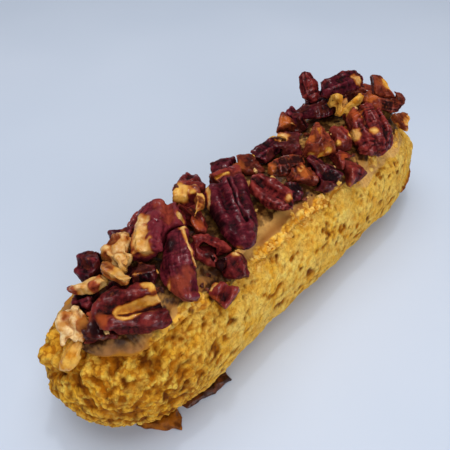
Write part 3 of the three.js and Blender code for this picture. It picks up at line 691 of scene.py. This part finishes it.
def rounded_nut(node, number):
    """A copy of a nut's solid with its facets rounded off and its breaks still sharp."""
    piece = solid_copy(node, node.replace("pecan_", "candied_pecan_"))
    bpy.ops.object.mode_set(mode="EDIT")
    bpy.ops.mesh.select_mode(type="EDGE")
    bpy.ops.mesh.select_all(action="DESELECT")
    bpy.ops.mesh.edges_select_sharp(sharpness=math.radians(SHARP_EDGE))
    bpy.ops.object.mode_set(mode="OBJECT")
    crease = piece.data.attributes.new("crease_edge", "FLOAT", "EDGE")
    crease.data.foreach_set("value", [0.5 * edge.select for edge in piece.data.edges])
    rounded(piece, PECAN_VOXEL, SOFTENED.get(number, EVENED_OUT))
    return piece


def rim_distance(points, rim):
    """How far each point lies from the rims of a nut's breaks."""
    if not rim:
        return np.full(len(points), 9.0)
    places = KDTree(len(rim))
    for n, place in enumerate(rim):
        places.insert(place, n)
    places.balance()
    return np.array([places.find(point)[2] for point in points])


def laid_bare(points, number, slot, broken, to_rim):
    """Where flesh shows, where the skin is roasted orange, and how ragged the edges of both are."""
    ragged = 0.6 * mottle(points, 1.1, 71) + 0.4 * mottle(points, 0.6, 72) - 0.5
    near_rim = 1 - ease(to_rim + 1.2 * ragged, 0.55 * RIM_WIDTH, 1.25 * RIM_WIDTH)
    share = BREAK_SHOWS[slot]
    patchy = ease(mottle(points, 3.2, 75), 0.5 - 0.4 * share, 0.7 - 0.4 * share)
    flesh = broken * np.maximum(near_rim * patchy, ease(mottle(points, 2.2, 74), 0.8 - share, 1.0 - share))
    all_over = FLESH_SHOWS.get(number, PLAIN_FLESH)[0]
    if all_over:
        open_skin = 0.6 * mottle(points, 2.6, 76) + 0.4 * mottle(points, 1.3, 77)
        flesh = np.maximum(flesh, ease(open_skin, 0.75 - 0.6 * all_over, 0.87 - 0.6 * all_over))
    flesh = np.maximum(flesh, ease(touched(points, PALE_TOUCHES) + 0.9 * ragged, -0.1, 0.6))
    for line, wide in PALE_LINES:
        away = line_distance(points, line) + 0.8 * wide * ragged
        flesh = np.maximum(flesh, 1 - ease(away, 0.6 * wide, 1.1 * wide))
    flesh *= 1 - ease(touched(points, SKIN_TOUCHES) + 0.9 * ragged, 0.1, 0.4)
    warm = ease(touched(points, WARM_TOUCHES) + 0.9 * ragged, 0.0, 0.8)
    return flesh, np.maximum(warm, 0.3 * near_rim * (1 - broken)), ragged


def skin_folds(local, number):
    """The relief of a nut's wrinkled skin, along its own axes, and the painted light and shade that the
    folds give each point.
    """
    bent = local + 0.9 * astray(local, 2.4, 91)
    folds = np.abs(2 * mottle(bent / (6.5, 1.5, 1.5), 1, 81) - 1)
    fine_folds = np.abs(2 * mottle(bent / (3.2, 0.8, 0.8), 1, 82) - 1)
    bulge = mottle(local, 2.6, 84) - 0.5
    wrinkled = WRINKLED.get(number, 1)
    along = FOLDED.get(number, 1)
    cross = np.abs(2 * mottle(bent / (0.4 + 0.35 * along, 4.0, 4.0), 1, 83) - 1)
    skin = WRINKLE * wrinkled * (along * (0.8 * folds + 0.7 * fine_folds - 0.5) + 0.9 * (cross - 0.3))
    skin += 0.85 * bulge + 0.16 * (mottle(local, 0.6, 88) - 0.5)
    ridge = along * (0.3 * folds + 0.3 * fine_folds) + 0.4 * cross - 0.32
    return skin, 0.55 + 0.6 * min(wrinkled, 1) * ridge + 0.3 * bulge


def pecan_piece(node, slot, owner):
    number = int(node[-2:])
    source = frame["nodes"][node].data
    piece = rounded_nut(node, number)
    points, normals = points_of(piece)
    shows, rim = breaks_of(source, owner)
    if number in COATED:
        shows, rim = np.zeros(len(shows)), []
    source_tree = tree_of(source)
    broken = np.array([shows[source_tree.find_nearest(Vector(point))[2]] for point in points])
    flesh, warm, ragged = laid_bare(points, number, slot, broken, rim_distance(points, rim))
    _, honey, knobbly = FLESH_SHOWS.get(number, PLAIN_FLESH)

    middle = points.mean(axis=0)
    axes = np.linalg.svd(points[::7] - middle, full_matrices=False)[2]
    local = (points - middle) @ axes.T + 40 * owner
    skin, ridge = skin_folds(local, number)
    knobs = np.abs(2 * mottle(local, 2.6, 85) - 1)
    meat = 1.3 * knobbly * (knobs - 0.32) + 0.4 * (mottle(local, 1.2, 86) - 0.5)
    meat += 0.2 * (mottle(local, 0.6, 87) - 0.5)
    lift = skin * (1 - flesh) + meat * flesh - 0.12 * flesh
    for *place, radius, dent in DENTS:
        lift -= dent * ease(1 - distance(points, place) / radius, 0, 0.6)
    furrow = np.zeros(len(points))
    if number in FURROWS:
        line, wide, down = FURROWS[number]
        furrow = 1 - ease(line_distance(points + 0.5 * astray(points, 1.6, 95), line), 0.2 * wide, wide)
        lift -= down * furrow
    # Painted shade where the nut lies close to another nut or to the cream
    other_facets = [facet for facet, of in zip(facets, facet_owner) if of != owner]
    gap = np.minimum(gap_to(BVHTree.FromPolygons(corners, other_facets), points), gap_to(cream_tree, points))
    gap = np.minimum(gap, CONTACT_SHADE_REACH)
    contact_shade = np.exp(-gap / 0.9) * (0.6 + 0.8 * mottle(points, 2.0, 79))
    points = points + normals * lift[:, None]
    if number in BLUNTED:
        corner, reach, worn = BLUNTED[number]
        inward = (middle - corner) / np.linalg.norm(middle - corner)
        points += worn * ease(1 - distance(points, corner) / reach, 0, 1)[:, None] * inward
    move_points(piece, points)
    evened = np.stack([spread(piece, points[:, axis], 14) for axis in (0, 1, 2)], axis=1)
    hollow = ((evened - points) * normals).sum(axis=1)
    store(piece, "flesh", spread(piece, flesh, 1))
    store(piece, "warm", warm)
    # Dark where caramel lies thick, with painted shade in the furrows and where the nut touches others
    dark = np.maximum(ease(touched(points, DARK_AND_SHADED_TOUCHES) + 0.7 * ragged, 0, 0.6), 0.7 * furrow)
    store(piece, "dark", np.maximum(dark, ease(contact_shade, 0.28, 1.0)))
    store(piece, "crest", ease(-hollow, 0.02, 0.14))
    store(piece, "broken", spread(piece, broken, 1))
    store(piece, "honey", honey + 0.5 * (mottle(points, 3, 78) - 0.5))
    # Painted light on the ridges and painted shade in the hollows, and the deeper nuts darker all over
    store(piece, "ridge", ridge - 1.4 * hollow - DEEPER.get(number, 0))
    # Painted shade in the hollows of the flesh
    store(piece, "hollow", ease(hollow, 0.03, 0.28))
    store(piece, "shade", np.full(len(points), chance_at(np.array([[owner, 5, 9]]), 3)[0]))
    bpy.ops.object.shade_smooth()
    return piece


nut_meat, ways_in, ways_out = new_effect("nut_meat", {"Honey": "Float"}, {"Colour": "Color"})
white = shades(nut_meat, (208, 148, 78), (246, 214, 156), 1.4)
golden = shades(nut_meat, (204, 130, 31), (240, 185, 83), 1.8)
meat = blend(nut_meat, ways_in["Honey"], white, golden)
meat = tinted(nut_meat, meat, (190, 112, 36), patches(nut_meat, 0.9, 3.0), 0.52, 0.7, 0, 0.4)
nut_meat.links.new(meat, ways_out["Colour"])

candied, ways_in, ways_out = new_effect(
    "candied_skin",
    {"Dark": "Color", "Middle": "Color", "Warm": "Color", "Glow": "Color"},
    {"Colour": "Color", "Roughness": "Float", "Coat": "Float", "Height": "Float"},
)
ridge = range_of(candied, patches(candied, 3.5), 0.3, 0.7, -0.14, 0.14)
fine_ridge = range_of(candied, patches(candied, 0.9, 4.0, 0.65), 0.3, 0.7, -0.2, 0.2)
ridge = combine(candied, "ADD", ridge, fine_ridge)
ridge = combine(candied, "ADD", ridge, stored(candied, "ridge"))
ridge = combine(candied, "ADD", ridge, range_of(candied, "shade", 0, 1, -0.14, 0.14))
# Dark in the folds and warm on the ridges: painted shade and painted light, over patches of random tone
skin = tinted(candied, ways_in["Dark"], ways_in["Middle"], ridge, 0.1, 0.48)
skin = tinted(candied, skin, ways_in["Warm"], ridge, 0.52, 0.95, 0, 0.9)
skin = tinted(candied, skin, ways_in["Glow"], patches(candied, 1.2, 3.0, 0.7), 0.58, 0.7, 0, 0.25)
skin = tinted(candied, skin, ways_in["Glow"], "warm", 0.05, 0.95, 0, 0.72)
# The dark mask: thick caramel, and painted shade in furrows, gaps and where nuts touch
skin = tinted(candied, skin, ways_in["Dark"], "dark", 0, 1, 0, 0.9)
coated = shades(candied, (58, 16, 16), (108, 42, 24), 1.5)
skin = tinted(candied, skin, coated, "broken", 0.3, 0.8, 0, 0.45)
skin = tinted(candied, skin, (170, 84, 22), "flesh", 0.02, 0.4, 0, 0.9)
meat = effect(candied, nut_meat, Honey=stored(candied, "honey"))["Colour"]
# The flesh gets painted shade in its hollows
meat = tinted(candied, meat, (150, 76, 20), "hollow", 0.25, 1.0, 0, 0.6)
# The flesh is darkened under the same caramel and painted shade
meat = tinted(candied, meat, (124, 60, 16), "dark", 0, 1, 0, 0.4)
candied.links.new(tinted(candied, skin, meat, "flesh", 0.25, 0.95), ways_out["Colour"])
candied.links.new(range_of(candied, patches(candied, 1.8), 0.35, 0.65, 0.36, 0.6), ways_out["Roughness"])
gloss = range_of(candied, patches(candied, 2.0), 0.43, 0.6, 0.0, 0.9)
candied.links.new(combine(candied, "MULTIPLY", gloss, stored(candied, "crest")), ways_out["Coat"])
candied.links.new(effect(candied, crumbly, Size=0.4)["Height"], ways_out["Height"])

# The folds' dark is painted shade and the ridges' warmth is painted light
# The skin of each kind of nut: in its folds, between them, on its ridges, and where it is roasted
SKIN_SHADES = {
    "pecan_plum": ((22, 5, 8), (74, 15, 27), (118, 36, 46), (158, 66, 44)),
    "pecan_red": ((32, 7, 9), (98, 25, 27), (142, 51, 44), (184, 82, 37)),
    "pecan_toasted": ((42, 11, 9), (116, 41, 28), (162, 72, 44), (200, 102, 40)),
    "pecan_pale": ((84, 32, 15), (146, 72, 30), (194, 122, 54), (216, 138, 50)),
}
SKINS = {}
for slot, skin_shades in SKIN_SHADES.items():
    SKINS[slot], tree, shader = new_material(slot, Specular_IOR_Level=0.06, Coat_Roughness=0.1)
    dark, middle, warm, glow = (colour(*shade) for shade in skin_shades)
    finish = effect(tree, candied, Dark=dark, Middle=middle, Warm=warm, Glow=glow)
    relief = bumped(tree, finish["Height"], strength=0.6, distance=0.25)
    lead(tree, shader, Base_Color=finish["Colour"], Roughness=finish["Roughness"])
    lead(tree, shader, Coat_Weight=finish["Coat"], Normal=relief)
slot_of = {row["node"]: row["material_slot"] for row in frame["record"]["subparts"]}
nuts = []
for owner, node in enumerate(pecan_nodes):
    nut = pecan_piece(node, slot_of[node], owner)
    nut.data.materials.append(SKINS[slot_of[node]])
    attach(nut, "root")
    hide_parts(node)
    nuts.append(nut)

# The crumbs: bits of pale flesh and of dark skin that broke off the nuts, and of the sugar dough along the
# border of the cream. They were chopped or rubbed off and stuck to what they fell on.
FLESH_CRUMBS = 30
SKIN_CRUMBS = 60
BORDER_CRUMBS = 180
LANDING_LENGTH = (-54, 59)
LANDING_WIDTH = (-13, 11)
FALL_FROM = 70
FALL_NEAR_NUT = 2.2  # fallen crumbs lie no further than this from a nut
LEVEL_ENOUGH = 0.35  # how far upwards a place faces that a crumb can lie on
BORDER_WIDTH = 1.6
# Larger crumbs that can be told apart: x, y, z and size
LARGE_CRUMBS = [
    (-23.3, -12.3, 35.7, 2), (-58.4, -6.6, 35.2, 1.3), (1.3, 3.7, 36.3, 1.4), (26.6, -3.4, 38.6, 1.2),
]


def chopped_bit(name, seed, flat):
    """A ragged crumb, 1 mm long."""
    bpy.ops.object.select_all(action="DESELECT")
    bpy.ops.mesh.primitive_ico_sphere_add(subdivisions=2, radius=0.5 * MM)
    bit = bpy.context.active_object
    bit.name = name
    bpy.ops.object.mode_set(mode="EDIT")
    bpy.ops.mesh.select_all(action="SELECT")
    bpy.ops.transform.vertex_random(offset=0.2 * MM, uniform=0.4, normal=0.3, seed=seed)
    bpy.ops.transform.resize(value=(1.1, 0.8, flat))
    bpy.ops.object.mode_set(mode="OBJECT")
    apply_modifier(bit, "DECIMATE", ratio=0.6)
    return bit


def scattered(name, bits, places):
    """Copies of the bits at places, each given as a point in mm, an outward direction and a size."""
    copies = []
    for n, (place, out, size) in enumerate(places):
        mesh = bits[n % len(bits)].data.copy()
        turn = Matrix.Rotation(2.4 * n, 4, "Z") @ Matrix.Diagonal((size, size, size, 1))
        facing = out.to_track_quat("Z", "Y").to_matrix().to_4x4()
        mesh.transform(Matrix.Translation(Vector(place) * MM) @ facing @ turn)
        copy = bpy.data.objects.new(name, mesh)
        bpy.context.collection.objects.link(copy)
        copies.append(copy)
    bpy.ops.object.select_all(action="DESELECT")
    for copy in copies:
        copy.select_set(True)
    bpy.context.view_layer.objects.active = copies[0]
    bpy.ops.object.join()
    bpy.ops.object.shade_smooth_by_angle(angle=math.radians(40))
    return copies[0]


def dress(tree, shader, base, rough, grain):
    """Leads a colour, patchy gloss (size, from, to) and grain (size, strength, depth) to a shader."""
    rough_size, smoothest, roughest = rough
    grain_size, strength, depth = grain
    gloss = range_of(tree, patches(tree, rough_size), 0.3, 0.7, smoothest, roughest)
    height = effect(tree, crumbly, Size=grain_size)["Height"]
    lead(tree, shader, Base_Color=base, Roughness=gloss, Normal=bumped(tree, height, strength, depth))


bpy.context.view_layer.update()
depsgraph = bpy.context.evaluated_depsgraph_get()
landing = [BVHTree.FromObject(piece, depsgraph) for piece in [crust, cream, *nuts]]
bits = [chopped_bit("bit_%d" % n, n + 1, flat) for n, flat in enumerate((0.75, 0.95, 0.85))]
rng = np.random.default_rng(12)


def fallen(count, keep_on_nut):
    """Places where crumbs came to lie, more of them in the gaps than on the nuts."""
    places = []
    while len(places) < count:
        x, y = rng.uniform(*LANDING_LENGTH), rng.uniform(*LANDING_WIDTH)
        size, luck = rng.uniform(), rng.uniform()
        best = None
        for n, tree in enumerate(landing):
            place, out, _, _ = tree.ray_cast(Vector((x, y, FALL_FROM)) * MM, Vector((0, 0, -1)))
            if place and (best is None or place.z > best[0].z):
                best = (place, out, n)
        if best is None or best[2] == 0 or best[1].z < LEVEL_ENOUGH or (best[2] > 1 and luck > keep_on_nut):
            continue
        if pecan_tree.find_nearest(best[0] / MM)[3] < FALL_NEAR_NUT:
            places.append((best[0] / MM, best[1], 0.6 + 1.3 * size**2))
    return places


flesh_finish, tree, shader = new_material("pecan_flesh", Specular_IOR_Level=0.3)
honey = range_of(tree, patches(tree, 9), 0.35, 0.65)
meat = effect(tree, nut_meat, Honey=honey)["Colour"]
dress(tree, shader, meat, rough=(1.0, 0.5, 0.7), grain=(0.3, 0.4, 0.2))
up = Vector((-0.2, -0.3, 0.93))
large = [(place, up, size) for *place, size in LARGE_CRUMBS]
flesh_crumbs = scattered("flesh_crumbs", bits, large + fallen(FLESH_CRUMBS, keep_on_nut=0.03))
flesh_crumbs.data.materials.append(flesh_finish)
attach(flesh_crumbs, "root")

skin_finish, tree, shader = new_material("pecan_skin_bits", Specular_IOR_Level=0.4)
skin = shades(tree, (52, 16, 14), (132, 58, 30), 1.6)
dress(tree, shader, skin, rough=(1.0, 0.35, 0.6), grain=(0.3, 0.4, 0.2))
skin_crumbs = scattered("skin_crumbs", bits, fallen(SKIN_CRUMBS, keep_on_nut=0.05))
skin_crumbs.data.materials.append(skin_finish)
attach(skin_crumbs, "root")

points, normals = points_of(crust)
border = (covered == 0) & (to_cream < BORDER_WIDTH) & (points[:, 2] > 8) & (points[:, 0] > -36)
icing_points, icing_normals = points_of(cream)
brim = (thick < BORDER_WIDTH) & (icing_normals[:, 2] > 0.3) & (to_nut > 0.8) & (icing_points[:, 0] > -38)
points = np.concatenate([points[border], icing_points[brim]])
normals = np.concatenate([normals[border], icing_normals[brim]])
rubbed_off = [
    (points[n] - 0.1 * normals[n], Vector(normals[n]), 0.8 + 1.3 * rng.uniform() ** 2)
    for n in rng.choice(len(points), BORDER_CRUMBS, replace=False)
]
dough_crumbs = scattered("dough_crumbs", bits, rubbed_off)
dough_finish, tree, shader = new_material("craquelin_crumbs", Specular_IOR_Level=0.25)
dough = shades(tree, (214, 148, 42), (248, 204, 102), 1.6)
dress(tree, shader, dough, rough=(1.0, 0.6, 0.8), grain=(0.4, 0.5, 0.3))
dough_crumbs.data.materials.append(dough_finish)
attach(dough_crumbs, "root")
for bit in bits:
    bpy.data.objects.remove(bit)

# The baked foot: sugar dough and butter that ran out under the near end and baked to a thin amber flake,
# stuck to the base, with a darker strip of burnt caramel beside it.
NEAR_FOOT = [
    (-58.8, -10.4), (-57.6, -13.2), (-55.8, -15.8), (-54, -17.8), (-52.2, -19.4), (-51.2, -18), (-50, -17),
    (-48.6, -15), (-50, -11), (-55, -7),
]
DARK_STRIP = [
    (-48, -13), (-47.4, -16.8), (-43, -18.1), (-38, -19.2), (-33.4, -19.8), (-32.4, -17), (-38, -14),
    (-44, -12),
]
NEAR_FOOT_THICK = 2.0
DARK_STRIP_THICK = 1.3


def run_out(name, outline, thick, salt):
    """A thin flake of something that ran out flat and set, with a rounded and uneven edge."""
    bpy.ops.object.select_all(action="DESELECT")
    bpy.ops.mesh.primitive_circle_add(vertices=len(outline), radius=MM, fill_type="NGON")
    flake = bpy.context.active_object
    flake.name = name
    for vertex, (x, y) in zip(flake.data.vertices, outline):
        vertex.co = Vector((x, y, 0)) * MM
    bpy.ops.object.mode_set(mode="EDIT")
    bpy.ops.mesh.select_all(action="SELECT")
    bpy.ops.mesh.extrude_region_move(TRANSFORM_OT_translate={"value": (0, 0, thick * MM)})
    bpy.ops.transform.resize(value=(0.86, 0.86, 1))
    bpy.ops.mesh.select_all(action="SELECT")
    bpy.ops.mesh.normals_make_consistent(inside=False)
    bpy.ops.object.mode_set(mode="OBJECT")
    apply_modifier(flake, "BEVEL", width=0.45 * MM, segments=2)
    apply_modifier(flake, "REMESH", mode="VOXEL", voxel_size=0.3 * MM)
    apply_modifier(flake, "SMOOTH", factor=0.5, iterations=4)
    points, normals = points_of(flake)
    lift = 0.9 * (mottle(points, 3.0, salt) - 0.5) + 0.5 * (mottle(points, 1.2, salt + 1) - 0.5)
    points = points + normals * (lift * ease(points[:, 2], 0, 0.8))[:, None]
    points[:, :2] += 1.3 * astray(points, 1.8, salt + 2)[:, :2]
    points[:, 2] = np.maximum(points[:, 2], 0)
    move_points(flake, points)
    bpy.ops.object.shade_smooth()
    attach(flake, "root")
    return flake


foot_finish, tree, shader = new_material("baked_sugar", Specular_IOR_Level=0.2)
sugar = shades(tree, (100, 48, 0), (164, 92, 8), 1.6)
dress(tree, shader, sugar, rough=(1.4, 0.35, 0.6), grain=(0.5, 0.4, 0.3))
burnt_finish, tree, shader = new_material("burnt_caramel", Specular_IOR_Level=0.5)
caramel = shades(tree, (50, 18, 8), (110, 52, 18), 1.6)
dress(tree, shader, caramel, rough=(1.4, 0.25, 0.45), grain=(0.5, 0.3, 0.3))
run_out("baked_foot_near", NEAR_FOOT, NEAR_FOOT_THICK, salt=101).data.materials.append(foot_finish)
run_out("burnt_strip", DARK_STRIP, DARK_STRIP_THICK, salt=105).data.materials.append(burnt_finish)

# The floor, the light and the camera: a pale table, a soft light overhead from the side that is seen, and
# the light of a bright room all round.
CAMERA_AIM = (-7.21, 6.91, 20.0)
CAMERA_DISTANCE = 157.69
CAMERA_AZIMUTH = -48.06
CAMERA_ELEVATION = 44.14
CAMERA_ANGLE = 44
ROOM_LIGHT = 0.22
LIGHT_AIM = (0, 0, 20)

bpy.ops.object.select_all(action="DESELECT")
bpy.ops.mesh.primitive_plane_add(size=3.0)
floor = bpy.context.active_object
floor.name = "floor"
table, tree, shader = new_material("table", Specular_IOR_Level=0.2, Roughness=0.6)
lead(tree, shader, Base_Color=shades(tree, (205, 216, 234), (211, 221, 238), 120))
floor.data.materials.append(table)

world = bpy.data.worlds.new("room")
bpy.context.scene.world = world
world.use_nodes = True
background = world.node_tree.nodes["Background"].inputs
background["Color"].default_value = (0.92, 0.96, 1.0, 1.0)
background["Strength"].default_value = ROOM_LIGHT


def soft_light(name, place, aim, size, power):
    bpy.ops.object.light_add(type="AREA", location=Vector(place) * MM)
    lamp = bpy.context.active_object
    lamp.name = name
    lamp.data.shape = "DISK"
    lamp.data.size = size * MM
    lamp.data.energy = power
    lamp.rotation_euler = ((Vector(aim) - Vector(place)) * MM).to_track_quat("-Z", "Y").to_euler()


soft_light("overhead", (0, 40, 520), LIGHT_AIM, size=520, power=1.66)
soft_light("window", (-260, -400, 300), LIGHT_AIM, size=420, power=1.28)
soft_light("lamp", (60, 60, 520), LIGHT_AIM, size=36, power=0.24)

azimuth, elevation = math.radians(CAMERA_AZIMUTH), math.radians(CAMERA_ELEVATION)
back = Vector((
    math.sin(azimuth) * math.cos(elevation),
    -math.cos(azimuth) * math.cos(elevation),
    math.sin(elevation),
))
bpy.ops.object.camera_add(
    location=(Vector(CAMERA_AIM) + CAMERA_DISTANCE * back) * MM,
    rotation=(math.pi / 2 - elevation, 0, azimuth),
)
camera = bpy.context.active_object
camera.data.sensor_width = 36
camera.data.lens = 18 / math.tan(math.radians(CAMERA_ANGLE / 2))
camera.data.clip_start = 0.01
bpy.context.scene.camera = camera
bpy.context.scene.view_settings.view_transform = "Standard"
